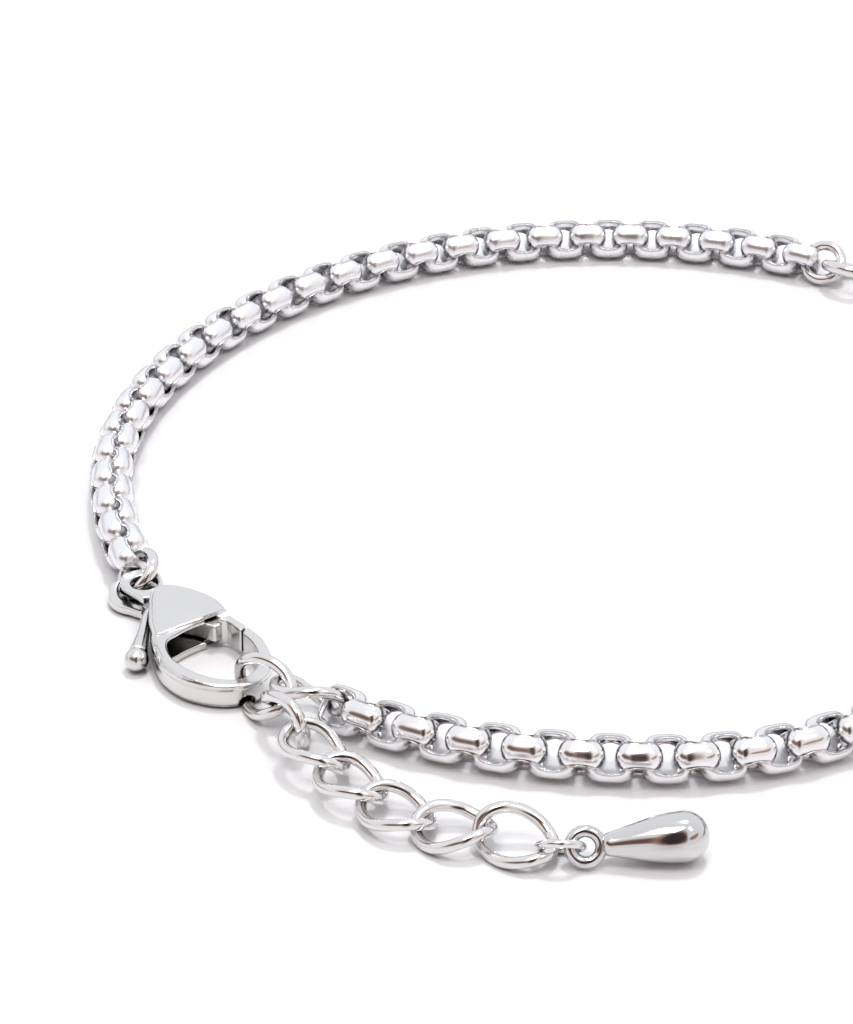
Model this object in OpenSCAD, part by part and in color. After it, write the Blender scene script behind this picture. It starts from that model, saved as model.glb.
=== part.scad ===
/* [Box chain] */
// Width across a box link
link_w = 2.85; // [2.4:0.05:3.4]
// Length of a box link
link_l = 2.74; // [2.4:0.02:3.2]
// Width of the band that a box link is made of
band_w = 1.5; // [1.2:0.05:1.8]
// Radius of the domed outside of the band
band_r = 0.88; // [0.8:0.02:1.2]
// Length of the hole in a box link
hole_l = 1.62; // [1.4:0.02:1.9]
// Width of the hole in a box link
hole_w = 2.05; // [1.8:0.05:2.3]
// Step from one box link to the next
pitch = 1.52; // [1.4:0.01:1.7]
// Turn of each box link about the run of the chain
link_roll = 45; // [40:1:50]
// Box links in the longer length
long_links = 50; // [40:1:60]
// Box links in the second length
near_links = 61; // [40:1:70]
// Height of the middle of the chain above the surface
chain_z = 1.34; // [1.2:0.01:1.6]

/* [Rings] */
// Thickness of the jump ring wire
ring_wire = 0.7; // [0.5:0.05:1]
// Middle radius of the jump rings
ring_r = 1.25; // [1:0.05:1.6]
// Thickness of the wire of the large joining ring
joining_wire = 0.8; // [0.6:0.05:1.2]
// Middle radius of the large joining ring
joining_r = 1.8; // [1.6:0.05:3]

/* [Free end] */
// Length of a twisted oval link
oval_l = 4.7; // [4:0.05:6]
// Width of a twisted oval link
oval_w = 3.6; // [3:0.05:5]
// Thickness of its wire
oval_wire = 0.6; // [0.4:0.02:0.8]
// Twist between the middle and each end
oval_twist = -30; // [-40:1:40]
// Length of the solid teardrop
drop_l = 5.3; // [4:0.1:7]
// Largest diameter of the teardrop
drop_d = 2.7; // [2:0.1:3.5]
// Diameter of its slender end
drop_neck = 1.3; // [0.8:0.05:1.8]

/* [Clasp] */
// Full thickness of the clasp
clasp_t = 2.2; // [1.8:0.05:2.6]
// Thickness of each of its two plates
plate_t = 0.48; // [0.35:0.01:0.6]
// Radius of the hinge pin
pin_r = 0.4; // [0.3:0.01:0.5]
// Running gap round the pin
pin_gap = 0.05; // [0.02:0.01:0.1]
// Radius of the thumb ball
ball_r = 0.7; // [0.4:0.01:0.8]

/* [Hidden] */
$fn = 48;
steel = [0.80, 0.80, 0.82];

// the whole bracelet is laid out as seen from the photo's side, then moved onto its own middle
lay_x = 11.255;
lay_y = 169.935;

// paths of the two lengths: [links, turn in degrees per link]
long_start = [-17.35, 162.48, 109.6];
long_turns = [[6, -2.55], [8, -3.04], [8, -2.62], [8, -2.71], [99, -2.78]];
near_start = [-4.56, 146.87, -31.4];
near_turns = [[5, 2.93], [7, 2.52], [7, 4.04], [20, 2.35], [99, 2.9]];

// how far the first box links lean over about the run, on top of link_roll
long_leans = [0, 2, 5, 8, 8, 8, 8, 8, 8, 7, 5, 3, 1];
near_leans = [];

function turn(tab, i, k = 0) = i < tab[k][0] ? tab[k][1] : turn(tab, i - tab[k][0], k + 1);
function roll(leans, i) = (i % 2 == 0 ? link_roll : -link_roll) + (i < len(leans) ? leans[i] : 0);
function walk(from, tab, n, leans) =
  [for (i = 0, x = from[0], y = from[1], h = from[2]; i < n;
        x = x + pitch * cos(h + turn(tab, i) / 2),
        y = y + pitch * sin(h + turn(tab, i) / 2),
        h = h + turn(tab, i), i = i + 1) [x, y, h, roll(leans, i)]];
long_path = walk(long_start, long_turns, long_links, long_leans);
near_path = walk(near_start, near_turns, near_links, near_leans);

// puts children where link i of a path sits, with the link's own run along X
module on_path(path, i) {
  translate([path[i][0], path[i][1], chain_z])
    rotate([0, 0, path[i][2]])
      rotate([path[i][3], 0, 0])
        children();
}
module laid() {
  translate([-lay_x, -lay_y, 0]) children();
}

// how far the middle of a jump ring sits past the middle of its end link
ring_reach = 1.54;

// section across a band: flat inside the run, domed at both ends, half is the reach from the middle
module band_slab(half) {
  intersection() {
    square([2 * half + 1, band_w], center = true);
    union() {
      translate([half - band_r, 0]) circle(r = band_r);
      translate([band_r - half, 0]) circle(r = band_r);
      square([2 * (half - band_r), band_w + 1], center = true);
    }
  }
}
module box_link() {
  difference() {
    intersection() {
      rotate([90, 0, 90]) linear_extrude(height = link_l + 1, center = true) band_slab(link_w / 2);
      rotate([90, 0, 0]) linear_extrude(height = link_w + 1, center = true) band_slab(link_l / 2);
      rotate_extrude() intersection() {
        band_slab(1.6);
        translate([0, -2]) square([3, 4]);
      }
    }
    intersection() {
      cube([hole_l, hole_w, 3], center = true);
      cylinder(r = 1.17, h = 4, center = true);
    }
  }
}
// an end link has a shallow groove where its jump ring passes round the end, side is -1 or 1
module end_link(side) {
  difference() {
    box_link();
    translate([side * ring_reach, 0, 0]) rotate([90, 0, 0]) ring(ring_r, ring_wire + 0.18);
  }
}
module long_chain() {
  color(steel) laid() {
    on_path(long_path, 0) end_link(-1);
    for (i = [1 : long_links - 2]) on_path(long_path, i) box_link();
    on_path(long_path, long_links - 1) end_link(1);
  }
}
module near_chain() {
  color(steel) laid() {
    difference() {
      for (i = [0, 1]) on_path(near_path, i) box_link();
      chain_link_room();
    }
    for (i = [2 : near_links - 2]) on_path(near_path, i) box_link();
    on_path(near_path, near_links - 1) end_link(1);
  }
}

module ring(r, wire) {
  rotate_extrude() translate([r, 0]) circle(r = wire / 2, $fn = 24);
}
// a jump ring through the hole of an end link: reach is where its middle sits along the link's run
module end_ring_shape(path, i, reach, wire) {
  on_path(path, i) translate([reach, 0, 0]) rotate([90, 0, 0]) ring(ring_r, wire);
}
module end_ring(path, i, reach) {
  end_ring_shape(path, i, reach, ring_wire);
}
module clasp_ring() {
  color(steel) laid() end_ring(long_path, 0, -ring_reach);
}
module far_ring() {
  color(steel) laid() end_ring(long_path, long_links - 1, ring_reach);
}
module near_ring() {
  color(steel) laid() end_ring(near_path, near_links - 1, ring_reach);
}
// middle of a jump ring on the last link of a path
function ring_mid(path, n, reach) =
  [path[n - 1][0] + reach * cos(path[n - 1][2]), path[n - 1][1] + reach * sin(path[n - 1][2])];
far_mid = ring_mid(long_path, long_links, ring_reach);
near_mid = ring_mid(near_path, near_links, ring_reach);
join_mid = (far_mid + near_mid) / 2;
join_head = atan2(near_mid[1] - far_mid[1], near_mid[0] - far_mid[0]);
join_roll = -26;
join_z = chain_z - 0.06;
module joining_ring() {
  color(steel) laid()
    translate([join_mid[0], join_mid[1], join_z])
      rotate([0, 0, join_head]) rotate([join_roll, 0, 0])
        ring(joining_r, joining_wire);
}

// a tube swept along a closed or open row of points, sides round the wire
function unit(v) = v / norm(v);
function sweep_ring(p, t, up, r, sides) =
  let (a = unit(cross(t, up)), b = cross(a, t))
  [for (k = [0 : sides - 1]) p + r * (cos(360 * k / sides) * a + sin(360 * k / sides) * b)];
module closed_tube(pts, ups, r, sides) {
  n = len(pts);
  rings = [for (i = [0 : n - 1])
    sweep_ring(pts[i], unit(pts[(i + 1) % n] - pts[(i + n - 1) % n]), ups[i], r, sides)];
  verts = [for (q = rings, v = q) v];
  faces = [for (i = [0 : n - 1], k = [0 : sides - 1], h = [0, 1])
    let (a = i * sides + k, b = i * sides + (k + 1) % sides,
         c = ((i + 1) % n) * sides + (k + 1) % sides, d = ((i + 1) % n) * sides + k)
    h == 0 ? [a, b, c] : [a, c, d]];
  polyhedron(verts, faces);
}
oval_steps = 16;
oval_sides = 6;
module oval_link() {
  a = (oval_l - oval_wire) / 2;
  b = (oval_w - oval_wire) / 2;
  pts = [for (i = [0 : oval_steps - 1])
    let (t = 360 * i / oval_steps, f = oval_twist * cos(t))
    [a * cos(t), b * sin(t) * cos(f), b * sin(t) * sin(f)]];
  ups = [for (i = [0 : oval_steps - 1])
    let (f = oval_twist * cos(360 * i / oval_steps)) [0, -sin(f), cos(f)]];
  closed_tube(pts, ups, oval_wire / 2, oval_sides);
}
// places of the twisted links: [x, y, height, heading, slope, roll]
hook_at = [-9.04, 148.77, 1.57, -50, -1, 58];
chain_at = [-6.36, 147.94, 1.68, -18.7, -9.7, -37.8];
oval_at = [[-7.44, 145.87, 1.7, -70, 12, -60],
           [-5.93, 142.97, 1.58, -47, -9, -13],
           [-3.98, 140.4, 1.27, -44, -4, -7],
           [-1.58, 138.16, 1.0, -32, -3, 1],
           [1.42, 136.72, 0.96, -14, 6, 7],
           [4.61, 135.69, 1.11, -23, -7, 30]];
module placed(at) {
  translate([at[0], at[1], at[2]]) rotate([0, 0, at[3]]) rotate([0, -at[4], 0]) rotate([at[5], 0, 0])
    children();
}
// room in the first box links for the round end of the link that holds them
module chain_link_room() {
  placed(chain_at) rotate([oval_twist, 0, 0]) translate([0.93, 0, 0]) ring(1.12, oval_wire + 0.2);
}
module hook_link() {
  color(steel) laid() placed(hook_at) oval_link();
}
module chain_link() {
  color(steel) laid() placed(chain_at) oval_link();
}
module extender_link_1() {
  color(steel) laid() placed(oval_at[0]) oval_link();
}
module extender_link_2() {
  color(steel) laid() placed(oval_at[1]) oval_link();
}
module extender_link_3() {
  color(steel) laid() placed(oval_at[2]) oval_link();
}
module extender_link_4() {
  color(steel) laid() placed(oval_at[3]) oval_link();
}
module extender_link_5() {
  color(steel) laid() placed(oval_at[4]) oval_link();
}
module extender_link_6() {
  color(steel) laid() placed(oval_at[5]) oval_link();
}
drop_ring_at = [6.9, 134.94, 1.07, -3.6, 2.4, -43.8];
drop_ring_r = 1.18;
drop_ring_wire = 0.44;
module drop_ring() {
  color(steel) laid() placed(drop_ring_at) ring(drop_ring_r, drop_ring_wire);
}

// the teardrop and its eye are one casting: the eye is at its start, the body runs along X
drop_at = [8.19, 134.86, 1.11, 5.3, 3.3, 54.8];
eye_r = 0.8;
eye_wire = 0.66;
drop_steps = 14;
module drop_body() {
  big = drop_d / 2;
  small = drop_neck / 2;
  first = eye_r + 0.15;
  mid = drop_l + eye_r + 0.37 - big;
  rotate([0, 90, 0]) rotate_extrude()
    polygon(concat([[0, first], [small * 0.72, first]],
      [for (i = [0 : drop_steps]) let (t = i / drop_steps)
        [small * 0.96 + (big - small * 0.96) * pow(sin(90 * t), 1.15), first + 0.25 + (mid - first - 0.25) * t]],
      [for (i = [1 : 8]) [big * cos(90 * i / 8), mid + big * sin(90 * i / 8)]]));
}
module drop() {
  color(steel) laid() placed(drop_at) union() {
    ring(eye_r, eye_wire);
    drop_body();
  }
}

// the clasp lies flat; its own X runs from the tail eye to the hook, Y to the side of the gate
clasp_at = [-11.8, 152.2];
clasp_head = -54.6;
module clasp_place() {
  laid() translate([clasp_at[0], clasp_at[1], 0]) rotate([0, 0, clasp_head]) children();
}
hinge = [-5.4, 0.3];
gate_reach = 5.0;
mouth_gap = 0.12;
// tail eye: middle of its outside and of its hole
eye_at = [-9.1, 0.6];
hole_at = [-8.68, 0.58];
collar_at = [-9.15, 0.3];
hole_r = 0.8;
// outside of the body seen from above: [x, y]
outside = [[-7.4, 0.45], [-6.75, -0.25], [-5.8, -0.88], [-4.5, -1.66], [-3.3, -2.28], [-2.05, -2.8],
           [-0.6, -3.15], [1.0, -2.98], [2.3, -2.3], [3.25, -1.3], [3.75, 0.0], [3.5, 1.2],
           [2.7, 2.1], [1.6, 2.7], [0.3, 3.0], [-1.0, 3.0], [-2.3, 2.8], [-3.4, 2.85],
           [-4.4, 2.75], [-5.4, 2.4], [-6.4, 1.9], [-7.15, 1.3]];
// opening of the hook: [x, y]
opening = [[-2.2, -1.75], [-1.4, -2.22], [-0.4, -2.4], [0.8, -2.18], [1.85, -1.62], [2.65, -0.85],
           [2.95, 0.1], [2.5, 1.2], [1.5, 1.9], [0.3, 2.2], [-0.9, 2.15], [-2.0, 2.0], [-2.55, 1.2],
           [-2.6, 0.0], [-2.4, -1.1]];
// a smooth closed curve through a row of points
function curve(p, sub = 3) =
  let (n = len(p))
  [for (i = [0 : n - 1], k = [0 : sub - 1])
    let (a = p[(i + n - 1) % n], b = p[i], c = p[(i + 1) % n], d = p[(i + 2) % n], t = k / sub)
    0.5 * (2 * b + (c - a) * t + (2 * a - 5 * b + 4 * c - d) * t * t + (3 * b - a - 3 * c + d) * t * t * t)];
// the same curve moved inward by d
function inset(p, d) =
  let (n = len(p))
  [for (i = [0 : n - 1])
    let (t = unit(p[(i + 1) % n] - p[(i + n - 1) % n])) p[i] + d * [-t[1], t[0]]];
outer = curve(outside);
inner = curve(opening);
// layers of the outside wall: [from height, to height, moved inward, moved further in round the hook]
layers = [[0, 0.12, 0.24, 0], [0.12, 0.32, 0.08, 0], [0.32, 1.25, 0, 0], [1.25, 1.5, 0, 0.07],
          [1.5, 1.7, 0, 0.17], [1.7, 1.86, 0.02, 0.28], [1.86, 2.0, 0.08, 0.34], [2.0, 2.2, 0.24, 0.2]];
// 0 round the plate, 1 round the hook
function hookward(x) = min(1, max(0, (x + 4.5) / 2.5));
function rounded_in(p, d, more) =
  let (n = len(p))
  [for (i = [0 : n - 1])
    let (t = unit(p[(i + 1) % n] - p[(i + n - 1) % n])) p[i] + (d + more * hookward(p[i][0])) * [-t[1], t[0]]];
module body_block() {
  for (l = layers) translate([0, 0, l[0] * clasp_t / 2.2])
    linear_extrude(height = (l[1] - l[0]) * clasp_t / 2.2 + 0.001) polygon(rounded_in(outer, l[2], l[3]));
}
module tail_eye() {
  difference() {
    union() {
      translate([0, 0, 1.1]) linear_extrude(height = 0.45) union() {
        translate(eye_at) circle(r = 1.2);
        polygon([[-8.9, -0.58], [-6.9, -0.3], [-6.9, 1.0], [-8.6, 1.7]]);
      }
      translate([0, 0, 0.15]) linear_extrude(height = 0.5) union() {
        translate(collar_at) circle(r = 1.65);
        polygon([[-8.9, -1.33], [-6.9, -0.4], [-6.9, 1.0], [-8.8, 1.9]]);
      }
      // the collar rises round the far side of the eye
      difference() {
        translate([collar_at[0], collar_at[1], 0.6]) cylinder(r = 1.61, h = 0.8);
        translate([eye_at[0], eye_at[1], 0.62]) cylinder(r = 1.38, h = 2);
        translate([-8.8, -3, 0.5]) cube([3, 6, 2]);
        translate([-9.1, -1.35, 0.61]) rotate([0, 0, 136]) rotate([0, -14.3, 0])
          translate([-5, -5, 0]) cube([10, 10, 4]);
      }
    }
    translate([hole_at[0], hole_at[1], 1.0]) cylinder(r = hole_r, h = 1);
    translate([hole_at[0], hole_at[1], 0.3]) cylinder(r = 0.98, h = 0.6);
    // room for the first box link over the collar
    rotate([0, 0, -clasp_head]) translate([-clasp_at[0], -clasp_at[1], 0])
      translate([long_path[0][0], long_path[0][1], 0]) rotate([0, 0, long_path[0][2]])
        cube([3.1, 3.3, 6], center = true);
  }
}
// the jump ring's place in the clasp's own frame, with room round it
module ring_room() {
  rotate([0, 0, -clasp_head]) translate([-clasp_at[0], -clasp_at[1], 0])
    end_ring_shape(long_path, 0, -ring_reach, ring_wire + 0.24);
}
// what is cut off the top of the hook and the gate, from the edge of the top plate
module hook_fall() {
  translate([-3.11, -5, 1.98]) rotate([0, 0, -3.3]) rotate([0, 4, 0]) cube([9, 10, 3]);
}
// a straight rod from one point to another
module rod(a, b, r) {
  d = b - a;
  translate(a) rotate([0, acos(d[2] / norm(d)), atan2(d[1], d[0])]) cylinder(r = r, h = norm(d));
}
// room for the hook link's lower strand, which passes round under the nose of the hook
module hook_link_room() {
  rod([2.2, 0.17, 1.22], [3.2, -0.13, 0.42], 0.45);
  rod([3.05, -0.08, 0.445], [4.4, -0.53, 0.24], 0.45);
}
module clasp_body() {
  color(steel) clasp_place() difference() {
    union() {
      body_block();
      tail_eye();
      translate([-7.75, -0.1, 0.5]) cube([0.85, 1.3, 0.75]);
    }
    ring_room();
    // the opening of the hook, straight through
    translate([0, 0, -1]) linear_extrude(height = 5) polygon(inner);
    // past the top plate the hook is lower, and falls towards its nose
    hook_fall();
    // its top edge is broken
    translate([0, 0, 1.75]) linear_extrude(height = 1) polygon(inset(inner, -0.12));
    // the hollow between the two plates for the lever
    translate([0, 0, plate_t]) linear_extrude(height = clasp_t - 2 * plate_t)
      intersection() {
        polygon(inset(outer, 0.45));
        translate([-6.9, -3]) square([5, 6]);
      }
    // the way out for the thumb arm
    translate([0, 0, plate_t]) linear_extrude(height = clasp_t - 2 * plate_t)
      polygon([[-6.85, 0.6], [-7.25, -0.2], [-7.3, -3.2], [-3.3, -3.2], [-3.45, -2.0], [-4.4, -1.35],
               [-5.35, -0.6]]);
    // the mouth, cut back to a circle about the hinge
    translate([0, 0, -1]) linear_extrude(height = 5) intersection() {
      translate(hinge) circle(r = gate_reach + mouth_gap, $fn = 96);
      translate([-2.95, 1.0]) square([4, 3]);
    }
    // the way out for the gate under the top plate
    translate([0, 0, plate_t]) linear_extrude(height = clasp_t - 2 * plate_t)
      translate([-4.2, 1.0]) square([2, 3]);
    // room for the hook link, which passes through the opening and round under the nose of the hook
    hook_link_room();
    // the bore for the pin
    translate([hinge[0], hinge[1], 0.2]) cylinder(r = pin_r + 0.02, h = clasp_t - 0.45);
  }
}
module clasp_pin() {
  color(steel) clasp_place() translate([hinge[0], hinge[1], 0.22]) cylinder(r = pin_r, h = clasp_t - 0.49);
}
lever_low = plate_t + 0.08;
lever_high = clasp_t - plate_t - 0.08;
// the thumb arm outside the body: [x, y, height, radius]
thumb_run = [[-6.1, -0.1, 1.1, 0.36], [-6.2, -0.65, 1.12, 0.35], [-5.75, -1.07, 1.15, 0.34],
             [-5.1, -1.57, 1.12, 0.35], [-4.5, -2.08, 1.05, 0.4], [-3.95, -2.58, 0.95, 0.47],
             [-3.5, -2.98, 0.84, 0.57]];
ball_at = [-3.06, -3.36, 0.74];
module open_tube(run, sides) {
  n = len(run);
  p = [for (q = run) [q[0], q[1], q[2]]];
  rings = [for (i = [0 : n - 1])
    sweep_ring(p[i], unit(p[min(i + 1, n - 1)] - p[max(i - 1, 0)]), [0, 0, 1], run[i][3], sides)];
  verts = [for (q = rings, v = q) v];
  faces = concat([[for (k = [sides - 1 : -1 : 0]) k]],
    [for (i = [0 : n - 2], k = [0 : sides - 1], h = [0, 1])
      let (a = i * sides + k, b = i * sides + (k + 1) % sides,
           c = (i + 1) * sides + (k + 1) % sides, d = (i + 1) * sides + k)
      h == 0 ? [a, b, c] : [a, c, d]],
    [[for (k = [0 : sides - 1]) (n - 1) * sides + k]]);
  polyhedron(verts, faces);
}
module clasp_lever() {
  color(steel) clasp_place() difference() {
    union() {
      translate([hinge[0], hinge[1], lever_low]) cylinder(r = 1.0, h = lever_high - lever_low);
      translate([0, 0, lever_low]) linear_extrude(height = lever_high - lever_low)
        polygon([[-5.9, 1.1], [-4.6, 1.6], [-3.0, 2.15], [-2.2, 2.3], [-2.2, 1.3], [-3.4, 0.7], [-4.8, -0.4]]);
      // the gate fills the mouth, nearly as thick as the body
      translate([0, 0, 0.3]) linear_extrude(height = clasp_t - 0.5) intersection() {
        difference() {
          polygon(inset(outer, 0.35));
          polygon(inset(inner, 0.55));
          polygon(inner);
        }
        translate(hinge) circle(r = gate_reach, $fn = 96);
        translate([-2.35, 1.35]) square([4, 3]);
      }
      open_tube(thumb_run, 10);
      translate(ball_at) sphere(r = ball_r);
    }
    translate([hinge[0], hinge[1], -1]) cylinder(r = pin_r + pin_gap, h = 5);
    hook_fall();
  }
}

clasp_body();
clasp_lever();
clasp_pin();
clasp_ring();
long_chain();
far_ring();
joining_ring();
near_ring();
near_chain();
chain_link();
hook_link();
extender_link_1();
extender_link_2();
extender_link_3();
extender_link_4();
extender_link_5();
extender_link_6();
drop_ring();
drop();
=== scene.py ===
"""Looks of a polished steel chain bracelet that lies on a glossy white surface."""

import math

import bpy
import numpy as np
from mathutils import Matrix, Vector


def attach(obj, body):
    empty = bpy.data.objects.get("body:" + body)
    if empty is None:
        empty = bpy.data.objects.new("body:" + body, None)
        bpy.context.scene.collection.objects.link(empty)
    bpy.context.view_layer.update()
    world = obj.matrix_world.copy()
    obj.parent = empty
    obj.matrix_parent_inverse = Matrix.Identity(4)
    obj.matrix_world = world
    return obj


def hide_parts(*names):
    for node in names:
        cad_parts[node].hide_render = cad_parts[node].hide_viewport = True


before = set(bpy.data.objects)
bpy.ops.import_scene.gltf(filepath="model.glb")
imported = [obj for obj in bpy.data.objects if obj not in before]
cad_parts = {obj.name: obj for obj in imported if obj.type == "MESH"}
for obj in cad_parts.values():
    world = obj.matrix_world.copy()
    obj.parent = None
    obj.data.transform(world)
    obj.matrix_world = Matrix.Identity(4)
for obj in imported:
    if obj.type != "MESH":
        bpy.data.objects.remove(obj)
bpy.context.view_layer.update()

MM = 0.001

# Layout in millimetres: the bracelet is laid out from the photo's side, then moved onto its own middle
LAY = (11.255, 169.935)
PITCH = 1.52
CHAIN_Z = 1.34
LINK_ROLL = 45.0
LONG_LINKS, NEAR_LINKS = 50, 61
# x, y and heading of a chain's first link
LONG_START = (-17.35, 162.48, 109.6)
NEAR_START = (-4.56, 146.87, -31.4)
# how many links, and by how many degrees each turns; the last turn goes on to the chain's end
LONG_TURNS = ((6, -2.55), (8, -3.04), (8, -2.62), (8, -2.71), (99, -2.78))
NEAR_TURNS = ((5, 2.93), (7, 2.52), (7, 4.04), (20, 2.35), (99, 2.9))
# degrees that the first links of the long chain lean over
LONG_LEANS = (0, 2, 5, 8, 8, 8, 8, 8, 8, 7, 5, 3, 1)

# Box link: its size, its hole, and the band that it is bent from, drawn a little wider than the solids'
LINK_L, LINK_W, CORNER_R, CORNER_POWER = 2.74, 2.85, 1.58, 10
HOLE_L, HOLE_W, HOLE_R, HOLE_POWER = 1.62, 2.05, 1.17, 12
BAND_W, BAND_R = 1.6, 0.88
LINK_EDGE, HOLE_EDGE = 0.24, 0.12
# how much narrower and lower the band is at the middle of its side bars, and narrower at a chain's end
LINK_WAIST, LINK_SADDLE, END_NARROW = 0.1, 0.03, 0.3
LINK_STEPS, CROWN_STEPS, EDGE_STEPS = 56, 5, 4

# Jump rings
RING_REACH = 1.54
RING_R, RING_WIRE = 1.25, 0.7
JOIN_R, JOIN_WIRE, JOIN_ROLL, JOIN_DROP = 1.8, 0.8, -26.0, 0.06
DROP_RING_R, DROP_RING_WIRE = 1.18, 0.44

# Twisted oval links, whose wire is drawn a little thicker than the solids'
OVAL_L, OVAL_W, OVAL_WIRE, OVAL_DRAWN, OVAL_TWIST = 4.7, 3.6, 0.6, 0.66, -30.0
OVAL_STEPS, OVAL_SIDES = 80, 20

# Where the links, the drop's ring and the drop lie: x, y, height, heading, slope, roll
OVAL_PLACES = {
    "hook_link": (-9.04, 148.77, 1.57, -50, -1, 58),
    "chain_link": (-6.36, 147.94, 1.68, -18.7, -9.7, -37.8),
    "extender_link_1": (-7.44, 145.87, 1.7, -70, 12, -60),
    "extender_link_2": (-5.93, 142.97, 1.58, -47, -9, -13),
    "extender_link_3": (-3.98, 140.4, 1.27, -44, -4, -7),
    "extender_link_4": (-1.58, 138.16, 1.0, -32, -3, 1),
    "extender_link_5": (1.42, 136.72, 0.96, -14, 6, 7),
    "extender_link_6": (4.61, 135.69, 1.11, -23, -7, 30),
}
DROP_RING_PLACE = (6.9, 134.94, 1.07, -3.6, 2.4, -43.8)
DROP_PLACE = (8.19, 134.86, 1.11, 5.3, 3.3, 54.8)

# Teardrop: its eye, its length and widths, and how full it swells
EYE_R, EYE_WIRE = 0.8, 0.66
DROP_L, DROP_D, DROP_NECK, DROP_SWELL = 5.3, 2.7, 1.3, 1.15
# where the neck starts and what the length is counted from, both past the eye's radius
NECK_FROM, LENGTH_FROM = 0.15, 0.37
# share of the neck's radius and distance from its start: two rounds inside the eye, then the visible one
NECK_ROUNDS = ((0.55, -0.1), (0.85, 0.05), (0.96, 0.25))
DROP_SIDES, SWELL_STEPS, ROUND_STEPS = 64, 32, 16

# Clasp: where it lies, its heading, and how its cast edges are rounded
CLASP_AT, CLASP_HEAD = (-11.8, 152.2), -54.6
CAST_VOXEL, BODY_ROUNDS, LEVER_ROUNDS = 0.05, 14, 10
# the dome of its top plate: middle, reach each way, fall at that reach, and the most that it goes past it
PLATE_MIDDLE, PLATE_REACH, PLATE_FALL, PLATE_PAST = (-4.9, 0.6), (2.4, 2.5), 0.14, 1.3
# the height that the dome starts from, and the height over which it sets in
PLATE_FROM, PLATE_BLEND = 1.9, 0.2

# Steel: smudges that vary its roughness and wave it, polishing scratches, and painted shade in the recesses
SMUDGE_SCALE, SMUDGE_DETAIL, SMUDGE_RANGE = 900, 4, (0.3, 0.7)
SCRATCH_SCALE, SCRATCH_DETAIL, SCRATCH_WIDTH = 1500, 6, 0.1
BUMP_DEPTH = 0.1 * MM
# painted shade: the dark colour that recesses are darkened towards
RECESS_SHADE_COLOR = (0.03, 0.022, 0.02, 1)
RECESS_SHADE_REACH, RECESS_SHADE_SAMPLES = 1.5 * MM, 8

# Surroundings as the steel mirrors them
ROOM_NEAR = (0.97, 0.95, 0.95, 1)
ROOM_FAR = (1.03, 1.05, 1.1, 1)
ROOM_EDGE = (0.32, 0.24, 0.22, 1)
ROOM_COPPER = (0.42, 0.27, 0.2, 1)
STRIP_DARK = (0.16, 0.11, 0.1, 1)
LENS_DARK = (0.05, 0.035, 0.04, 1)
# Y or Z of the directions over which they change: near to far, the low edge and its far half, the near half
FAR_TURN, EDGE_HEIGHT, EDGE_TURN, NEAR_TURN = (-0.3, 0.5), (0.15, 0.06), (-0.2, 0.2), (-0.15, -0.35)
# dark ovals on the near side, a strip to the left, a copper one to the right, and the camera with who
# holds it: middle and reach in X and Z of a direction, and colour
ROOM_ROUNDS = (
    ((-0.5, 0.5), (0.6, 0.23), ROOM_COPPER),
    ((-0.5, 0.5), (0.55, 0.15), STRIP_DARK),
    ((0.62, 0.42), (0.3, 0.12), ROOM_COPPER),
    ((0.0, 0.5), (0.26, 0.46), ROOM_COPPER),
    ((0.0, 0.5), (0.19, 0.38), LENS_DARK),
)
ROUND_EDGE = (1.15, 0.8)
ANY_DEPTH = 1000

# Surface
FLOOR_COLOR, FLOOR_ROUGH, FLOOR_HALF = (0.77, 0.765, 0.775, 1), 0.22, 4.0

# Lights, all turned to the middle of the surface: place, size each way, power
SOFTBOXES = {
    "softbox_large": ((-0.12, -0.25, 0.75), (0.3, 0.28), 1.8),
    "softbox_small": ((0.33, -0.22, 0.7), (0.14, 0.22), 0.6),
    "key": ((0.1, 0.24, 0.95), (0.13, 0.13), 3.3),
}

# Camera, above the point that the layout starts from: height in millimetres, degrees down, lens
CAMERA_HEIGHT = 102.7
CAMERA_DOWN = 31.13
CAMERA_LENS, CAMERA_SENSOR = 114.68, 36
CAMERA_CLIP = (0.005, 20)


def turned(x=0.0, y=0.0, z=0.0):
    """A turn about X, then Y, then Z, in degrees, as OpenSCAD's rotate([x, y, z])."""
    return (Matrix.Rotation(math.radians(z), 4, "Z")
            @ Matrix.Rotation(math.radians(y), 4, "Y")
            @ Matrix.Rotation(math.radians(x), 4, "X"))


def laid(x, y, z):
    return Matrix.Translation((x - LAY[0], y - LAY[1], z))


def placed(place):
    x, y, z, heading, slope, roll = place
    return laid(x, y, z) @ turned(x=roll, y=-slope, z=heading)


def walk(start, turns, count, leans=()):
    """Middles, headings and rolls of the box links of one length."""
    steps = [angle for links, angle in turns for _ in range(links)]
    x, y, heading = start
    path = []
    for i, step in enumerate(steps[:count]):
        roll = (LINK_ROLL if i % 2 == 0 else -LINK_ROLL) + (leans[i] if i < len(leans) else 0)
        path.append((x, y, heading, roll))
        middle = math.radians(heading + step / 2)
        x, y, heading = x + PITCH * math.cos(middle), y + PITCH * math.sin(middle), heading + step
    return path


def on_path(path, i):
    x, y, heading, roll = path[i]
    return laid(x, y, CHAIN_Z) @ turned(z=heading, x=roll)


LONG_PATH = walk(LONG_START, LONG_TURNS, LONG_LINKS, LONG_LEANS)
NEAR_PATH = walk(NEAR_START, NEAR_TURNS, NEAR_LINKS)


# Mesh helpers

def grid_faces(rows, columns, closed_rows=True):
    """Faces between the rows of a grid of points whose columns close on themselves."""
    faces = []
    for i in range(rows if closed_rows else rows - 1):
        for k in range(columns):
            a, b = i * columns + k, i * columns + (k + 1) % columns
            c = (i + 1) % rows * columns + (k + 1) % columns
            d = (i + 1) % rows * columns + k
            faces.append((a, b, c, d))
    return faces


def moved(part, matrix):
    points, faces = part
    m = np.array(matrix)
    return np.asarray(points) @ m[:3, :3].T + m[:3, 3], faces


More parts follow.
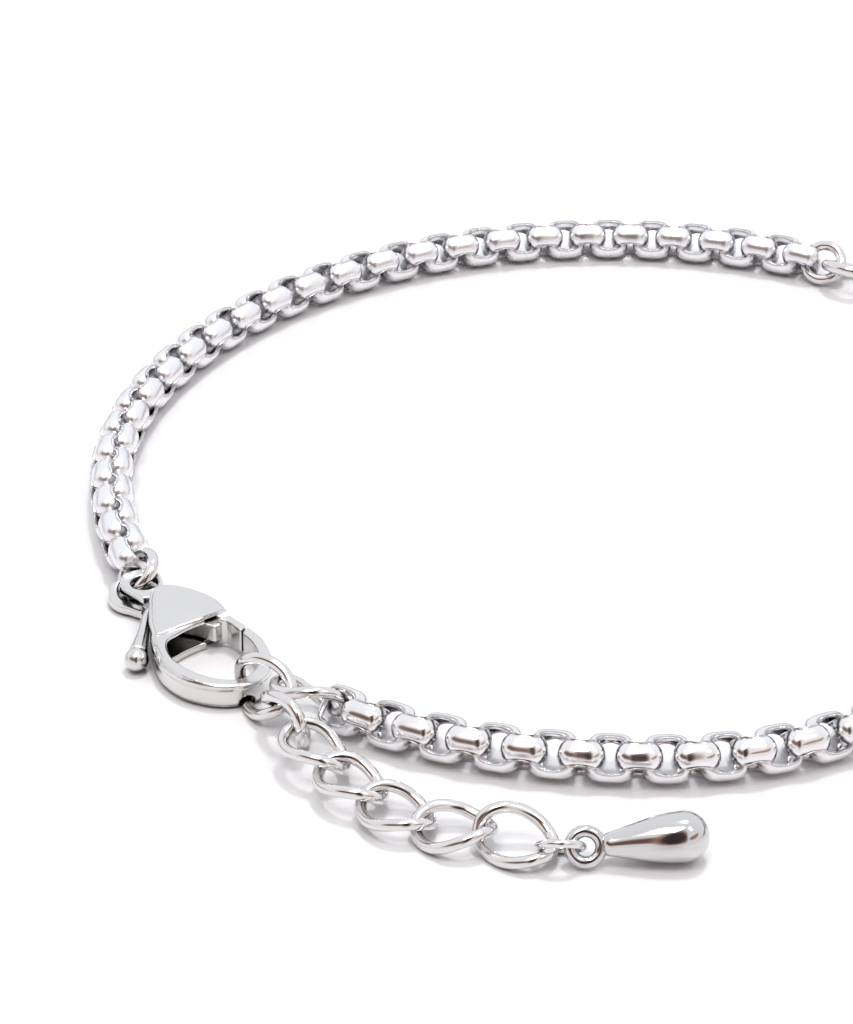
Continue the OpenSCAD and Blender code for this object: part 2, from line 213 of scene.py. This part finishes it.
def make_piece(name, parts, material):
    """One object from (points in millimetres, faces) parts."""
    points, faces, start = [], [], 0
    for part_points, part_faces in parts:
        points.append(np.asarray(part_points))
        faces += [tuple(start + v for v in f) for f in part_faces]
        start += len(part_points)
    mesh = bpy.data.meshes.new(name)
    mesh.from_pydata((np.vstack(points) * MM).tolist(), [], faces)
    mesh.polygons.foreach_set("use_smooth", [True] * len(mesh.polygons))
    mesh.materials.append(material)
    mesh.update()
    obj = bpy.data.objects.new(name, mesh)
    bpy.context.scene.collection.objects.link(obj)
    return obj


def stand_for(obj, body, slot, *nodes):
    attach(obj, body)
    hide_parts(*nodes)


def ring_part(radius, wire, steps=96, sides=24):
    points = []
    for i in range(steps):
        a = 2 * math.pi * i / steps
        for k in range(sides):
            b = 2 * math.pi * k / sides
            reach = radius + wire / 2 * math.cos(b)
            points.append((reach * math.cos(a), reach * math.sin(a), wire / 2 * math.sin(b)))
    return points, grid_faces(steps, sides)


# Node helpers

def cleared_tree(owner):
    owner.use_nodes = True
    owner.node_tree.nodes.clear()
    return owner.node_tree


def add_node(tree, kind, settings=None, inputs=None):
    """A new node. Its inputs are values, or the sockets that are linked to them."""
    made = tree.nodes.new(kind)
    for name, value in (settings or {}).items():
        setattr(made, name, value)
    for name, value in (inputs or {}).items():
        if isinstance(value, bpy.types.NodeSocket):
            tree.links.new(value, made.inputs[name])
        else:
            made.inputs[name].default_value = value
    return made


def ramp(tree, socket, start, end):
    """0 at start and 1 at end, smooth between them, whichever of the two is higher."""
    step = add_node(tree, "ShaderNodeMapRange", {"interpolation_type": "SMOOTHSTEP"},
                    {"Value": socket, "From Min": start, "From Max": end})
    return step.outputs["Result"]


def blend(tree, below, above, factor):
    """Colour below where factor is 0, and above where it is 1."""
    mix = add_node(tree, "ShaderNodeMix", {"data_type": "RGBA"}, {"Factor": factor, "A": below, "B": above})
    return mix.outputs["Result"]


def both(tree, a, b):
    product = add_node(tree, "ShaderNodeMath", {"operation": "MULTIPLY"}, {0: a, 1: b})
    return product.outputs["Value"]


def noise(tree, vector, scale, detail):
    texture = add_node(tree, "ShaderNodeTexNoise", {}, {"Vector": vector, "Scale": scale, "Detail": detail})
    return texture.outputs["Fac"]


def bump(tree, height, strength, normal=None):
    relief = add_node(tree, "ShaderNodeBump", {},
                      {"Height": height, "Strength": strength, "Distance": BUMP_DEPTH})
    if normal:
        tree.links.new(normal, relief.inputs["Normal"])
    return relief.outputs["Normal"]


# Materials

def steel(name, color, rough, wave=0.004, grain=0.0, recess=None):
    """Polished steel: rough is its least and most roughness, wave and grain the heights of its bumps.

    Recesses get painted shade: recess is the openness that is darkest and the one that gets no painted
    shade.
    """
    material = bpy.data.materials.new(name)
    tree = cleared_tree(material)
    base = (*color, 1)
    # painted shade: ambient occlusion darkens the colour in recesses
    if recess:
        openness = add_node(tree, "ShaderNodeAmbientOcclusion", {"samples": RECESS_SHADE_SAMPLES},
                            {"Distance": RECESS_SHADE_REACH})
        base = blend(tree, RECESS_SHADE_COLOR, base, ramp(tree, openness.outputs["AO"], *recess))
    place = add_node(tree, "ShaderNodeTexCoord").outputs["Object"]
    smudge = noise(tree, place, SMUDGE_SCALE, SMUDGE_DETAIL)
    spread = add_node(tree, "ShaderNodeMapRange", {},
                      {"Value": smudge, "From Min": SMUDGE_RANGE[0], "From Max": SMUDGE_RANGE[1],
                       "To Min": rough[0], "To Max": rough[1]})
    normal = bump(tree, smudge, wave)
    if grain > 0:
        # scratches run across the length of the clasp
        lie = add_node(tree, "ShaderNodeMapping", {"vector_type": "TEXTURE"},
                       {"Vector": place, "Rotation": (0, 0, math.radians(CLASP_HEAD)),
                        "Scale": (SCRATCH_WIDTH, 1, 1)})
        scratch = noise(tree, lie.outputs["Vector"], SCRATCH_SCALE, SCRATCH_DETAIL)
        normal = bump(tree, scratch, grain, normal)
    shader = add_node(tree, "ShaderNodeBsdfPrincipled", {},
                      {"Metallic": 1.0, "Base Color": base, "Roughness": spread.outputs["Result"],
                       "Normal": normal})
    add_node(tree, "ShaderNodeOutputMaterial", {}, {"Surface": shader.outputs["BSDF"]})
    return material


# painted light: the long chain is the near chain's steel, drawn lighter and bluer
STEEL_LONG = steel("steel_long_chain", (0.86, 0.855, 0.875), (0.24, 0.32), recess=(0.0, 0.08))
STEEL_NEAR = steel("steel_near_chain", (0.83, 0.82, 0.83), (0.12, 0.2))
STEEL_WIRE = steel("steel_wire", (0.73, 0.715, 0.71), (0.09, 0.15), recess=(0.02, 0.25))
STEEL_CAST = steel("steel_cast", (0.7, 0.69, 0.68), (0.14, 0.24), grain=0.03, recess=(0.15, 0.6))
STEEL_DROP = steel("steel_drop", (0.64, 0.63, 0.635), (0.07, 0.12), wave=0.0)


# Box chain

def soft_reach(angle, half_l, half_w, corner, power):
    """Distance from the middle to a rounded rectangle, in the direction of an angle."""
    c, s = abs(math.cos(angle)), abs(math.sin(angle))
    return ((c / half_l) ** power + (s / half_w) ** power + (1 / corner) ** power) ** (-1 / power)


def band_section(half, outer, inner):
    """Section of the band as (reach, height), round from its crown: upper edge, hole, lower edge.

    half is half its width, outer gives the reach at a depth below the crown, and inner is the hole's reach.
    """
    rim = half - LINK_EDGE
    core = math.sqrt((BAND_R - LINK_EDGE) ** 2 - rim ** 2)
    lean = math.atan2(rim, core)
    upper = []
    for k in range(CROWN_STEPS):
        a = lean * k / CROWN_STEPS
        upper.append((outer(BAND_R * (1 - math.cos(a))), BAND_R * math.sin(a)))
    for k in range(EDGE_STEPS + 1):
        a = lean + (math.pi / 2 - lean) * k / EDGE_STEPS
        upper.append((outer(BAND_R - core - LINK_EDGE * math.cos(a)), rim + LINK_EDGE * math.sin(a)))
    bevel = 0.3 * HOLE_EDGE
    upper += [(inner + HOLE_EDGE, half), (inner + bevel, half - bevel), (inner, half - HOLE_EDGE)]
    return upper + [(inner, 0.0)] + [(reach, -height) for reach, height in reversed(upper[1:])]


def box_link_part(narrow=0.0):
    """A box link: a wide domed band bent into a rounded rectangle. narrow takes width off one end bar."""
    points = []
    for i in range(LINK_STEPS):
        angle = 2 * math.pi * i / LINK_STEPS
        c, s = math.cos(angle), math.sin(angle)
        side_bar = max(0.0, -math.cos(2 * angle)) ** 3

        def outer(drop):
            drop += LINK_SADDLE * side_bar
            return soft_reach(angle, LINK_L / 2 - drop, LINK_W / 2 - drop, CORNER_R - drop, CORNER_POWER)

        half = BAND_W / 2 * (1 - narrow * max(0.0, c) ** 2) - LINK_WAIST * side_bar
        inner = soft_reach(angle, HOLE_L / 2, HOLE_W / 2, HOLE_R, HOLE_POWER)
        points += [(reach * c, reach * s, height) for reach, height in band_section(half, outer, inner)]
    return points, grid_faces(LINK_STEPS, len(points) // LINK_STEPS)


def chain_parts(path):
    """The links of one length, with the outer end bars of its first and last link made narrower."""
    plain, end = box_link_part(), box_link_part(END_NARROW)
    parts = [moved(end, on_path(path, 0) @ turned(z=180))]
    parts += [moved(plain, on_path(path, i)) for i in range(1, len(path) - 1)]
    parts.append(moved(end, on_path(path, len(path) - 1)))
    return parts


def build_chains():
    chains = {"long_chain": (LONG_PATH, STEEL_LONG), "near_chain": (NEAR_PATH, STEEL_NEAR)}
    for node, (path, material) in chains.items():
        chain = make_piece(node + "_links", chain_parts(path), material)
        stand_for(chain, "bracelet", "box_chain", node)


# Rings

def end_ring_matrix(path, i, reach):
    return on_path(path, i) @ Matrix.Translation((reach, 0, 0)) @ turned(x=90)


def ring_middle(path):
    x, y, heading, _ = path[-1]
    heading = math.radians(heading)
    return x + RING_REACH * math.cos(heading), y + RING_REACH * math.sin(heading)


def build_rings():
    plain = ring_part(RING_R, RING_WIRE)
    far, near = ring_middle(LONG_PATH), ring_middle(NEAR_PATH)
    heading = math.degrees(math.atan2(near[1] - far[1], near[0] - far[0]))
    joining = (laid((far[0] + near[0]) / 2, (far[1] + near[1]) / 2, CHAIN_Z - JOIN_DROP)
               @ turned(z=heading, x=JOIN_ROLL))
    rings = {
        "clasp_ring": (plain, end_ring_matrix(LONG_PATH, 0, -RING_REACH)),
        "far_ring": (plain, end_ring_matrix(LONG_PATH, LONG_LINKS - 1, RING_REACH)),
        "near_ring": (plain, end_ring_matrix(NEAR_PATH, NEAR_LINKS - 1, RING_REACH)),
        "joining_ring": (ring_part(JOIN_R, JOIN_WIRE), joining),
        "drop_ring": (ring_part(DROP_RING_R, DROP_RING_WIRE), placed(DROP_RING_PLACE)),
    }
    for node, (part, matrix) in rings.items():
        ring = make_piece(node + "_wire", [moved(part, matrix)], STEEL_WIRE)
        stand_for(ring, "bracelet", "link_wire", node)


# Twisted oval links

def oval_part():
    a, b = (OVAL_L - OVAL_WIRE) / 2, (OVAL_W - OVAL_WIRE) / 2

    def middle(t):
        lean = math.radians(OVAL_TWIST) * math.cos(t)
        return Vector((a * math.cos(t), b * math.sin(t) * math.cos(lean), b * math.sin(t) * math.sin(lean)))

    points = []
    for i in range(OVAL_STEPS):
        t = 2 * math.pi * i / OVAL_STEPS
        lean = math.radians(OVAL_TWIST) * math.cos(t)
        up = Vector((0, -math.sin(lean), math.cos(lean)))
        along = (middle(t + 0.01) - middle(t - 0.01)).normalized()
        out = along.cross(up).normalized()
        top = out.cross(along)
        for k in range(OVAL_SIDES):
            around = 2 * math.pi * k / OVAL_SIDES
            points.append(middle(t) + OVAL_DRAWN / 2 * (math.cos(around) * out + math.sin(around) * top))
    return [tuple(p) for p in points], grid_faces(OVAL_STEPS, OVAL_SIDES)


def build_oval_links():
    part = oval_part()
    for node, place in OVAL_PLACES.items():
        link = make_piece(node + "_wire", [moved(part, placed(place))], STEEL_WIRE)
        stand_for(link, "bracelet", "link_wire", node)


# Teardrop

def drop_profile():
    """Radius and distance along the teardrop, from its eye to its round end."""
    big, small = DROP_D / 2, DROP_NECK / 2
    neck = EYE_R + NECK_FROM
    middle = DROP_L + EYE_R + LENGTH_FROM - big
    rows = [(small * share, neck + step) for share, step in NECK_ROUNDS[:-1]]
    share, step = NECK_ROUNDS[-1]
    slim, start = small * share, neck + step
    for i in range(SWELL_STEPS + 1):
        t = i / SWELL_STEPS
        swell = math.sin(math.pi / 2 * t) ** DROP_SWELL
        rows.append((slim + (big - slim) * swell, start + (middle - start) * t))
    for i in range(1, ROUND_STEPS + 1):
        a = math.pi / 2 * i / ROUND_STEPS
        # the tip keeps a pinhead's width, so that its faces stay faces
        rows.append((max(big * math.cos(a), 0.001), middle + big * math.sin(a)))
    return rows


def build_drop():
    rows = drop_profile()
    turns = [2 * math.pi * k / DROP_SIDES for k in range(DROP_SIDES)]
    points = [(x, r * math.cos(a), r * math.sin(a)) for r, x in rows for a in turns]
    faces = grid_faces(len(rows), DROP_SIDES, closed_rows=False)
    faces.append(tuple(reversed(range(DROP_SIDES))))
    faces.append(tuple((len(rows) - 1) * DROP_SIDES + k for k in range(DROP_SIDES)))
    parts = [moved(part, placed(DROP_PLACE)) for part in ((points, faces), ring_part(EYE_R, EYE_WIRE))]
    stand_for(make_piece("teardrop", parts, STEEL_DROP), "bracelet", "drop", "drop")


# Clasp

def softened(node, rounds):
    """A copy of a node's mesh, in millimetres, with its edges rounded as a casting's are."""
    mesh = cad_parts[node].data.copy()
    mesh.materials.clear()
    mesh.transform(Matrix.Scale(1 / MM, 4))
    obj = bpy.data.objects.new(node + "_cast", mesh)
    bpy.context.scene.collection.objects.link(obj)
    remesh = obj.modifiers.new("remesh", "REMESH")
    remesh.mode = "VOXEL"
    remesh.voxel_size = CAST_VOXEL
    smooth = obj.modifiers.new("smooth", "SMOOTH")
    smooth.factor = 0.5
    smooth.iterations = rounds
    result = bpy.data.meshes.new_from_object(obj.evaluated_get(bpy.context.evaluated_depsgraph_get()))
    obj.modifiers.clear()
    obj.data = result
    result.polygons.foreach_set("use_smooth", [True] * len(result.polygons))
    result.materials.append(STEEL_CAST)
    return obj


def dome_plate(mesh):
    """Lets the top plate fall away a little from its middle. The mesh is in millimetres."""
    home = (laid(*CLASP_AT, 0) @ turned(z=CLASP_HEAD)).inverted()
    for vertex in mesh.vertices:
        x, y, z = home @ vertex.co
        rise = min(1.0, max(0.0, (z - PLATE_FROM) / PLATE_BLEND))
        away = (((x - PLATE_MIDDLE[0]) / PLATE_REACH[0]) ** 2
                + ((y - PLATE_MIDDLE[1]) / PLATE_REACH[1]) ** 2)
        vertex.co.z -= PLATE_FALL * rise * min(away, PLATE_PAST)


def build_clasp():
    body = softened("clasp_body", BODY_ROUNDS)
    dome_plate(body.data)
    lever = softened("clasp_lever", LEVER_ROUNDS)
    for cast in (body, lever):
        cast.data.transform(Matrix.Scale(MM, 4))
    stand_for(body, "bracelet", "cast_steel", "clasp_body")
    stand_for(lever, "lever", "cast_steel", "clasp_lever")
    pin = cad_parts["clasp_pin"].data
    pin.materials.clear()
    pin.materials.append(STEEL_CAST)


# Surface, light and camera

def build_floor():
    material = bpy.data.materials.new("white_surface")
    tree = cleared_tree(material)
    shader = add_node(tree, "ShaderNodeBsdfPrincipled", {},
                      {"Base Color": FLOOR_COLOR, "Roughness": FLOOR_ROUGH})
    add_node(tree, "ShaderNodeOutputMaterial", {}, {"Surface": shader.outputs["BSDF"]})
    mesh = bpy.data.meshes.new("surface")
    corners = [(x * FLOOR_HALF, y * FLOOR_HALF, 0) for x, y in ((-1, -1), (1, -1), (1, 1), (-1, 1))]
    mesh.from_pydata(corners, [], [(0, 1, 2, 3)])
    mesh.materials.append(material)
    floor = bpy.data.objects.new("surface", mesh)
    bpy.context.scene.collection.objects.link(floor)


def build_world():
    """Pale surroundings, brown low down on the far side, with dark ovals on the viewer's side."""
    world = bpy.data.worlds.new("studio")
    bpy.context.scene.world = world
    tree = cleared_tree(world)
    direction = add_node(tree, "ShaderNodeTexCoord").outputs["Generated"]
    axis = add_node(tree, "ShaderNodeSeparateXYZ", {}, {"Vector": direction})
    height, away = axis.outputs["Z"], axis.outputs["Y"]

    def oval(middle, reach):
        """1 within an oval of directions, given by their X and Z, and 0 outside it."""
        shape = add_node(tree, "ShaderNodeMapping", {"vector_type": "TEXTURE"},
                         {"Vector": direction, "Location": (middle[0], 0, middle[1]),
                          "Scale": (reach[0], ANY_DEPTH, reach[1])})
        size = add_node(tree, "ShaderNodeVectorMath", {"operation": "LENGTH"}, {0: shape.outputs["Vector"]})
        return ramp(tree, size.outputs["Value"], *ROUND_EDGE)

    color = blend(tree, ROOM_NEAR, ROOM_FAR, ramp(tree, away, *FAR_TURN))
    low_edge = both(tree, ramp(tree, height, *EDGE_HEIGHT), ramp(tree, away, *EDGE_TURN))
    color = blend(tree, color, ROOM_EDGE, low_edge)
    near_side = ramp(tree, away, *NEAR_TURN)
    for middle, reach, tone in ROOM_ROUNDS:
        color = blend(tree, color, tone, both(tree, oval(middle, reach), near_side))
    shader = add_node(tree, "ShaderNodeBackground", {}, {"Color": color, "Strength": 1.0})
    add_node(tree, "ShaderNodeOutputWorld", {}, {"Surface": shader.outputs["Background"]})


def build_lights():
    for name, (place, size, power) in SOFTBOXES.items():
        light = bpy.data.lights.new(name, "AREA")
        light.shape = "RECTANGLE"
        light.size, light.size_y = size
        light.energy = power
        softbox = bpy.data.objects.new(name, light)
        softbox.location = place
        softbox.rotation_euler = (-Vector(place)).to_track_quat("-Z", "Y").to_euler()
        bpy.context.scene.collection.objects.link(softbox)


def build_camera():
    data = bpy.data.cameras.new("camera")
    data.lens = CAMERA_LENS
    data.sensor_width = CAMERA_SENSOR
    data.clip_start, data.clip_end = CAMERA_CLIP
    camera = bpy.data.objects.new("camera", data)
    camera.location = laid(0, 0, CAMERA_HEIGHT).to_translation() * MM
    camera.rotation_euler = (math.radians(90 - CAMERA_DOWN), 0, 0)
    bpy.context.scene.collection.objects.link(camera)
    bpy.context.scene.camera = camera


build_camera()
build_world()
build_lights()
build_floor()
build_chains()
build_rings()
build_oval_links()
build_drop()
build_clasp()
bpy.context.scene.view_settings.view_transform = "Standard"

bpy.context.view_layer.update()
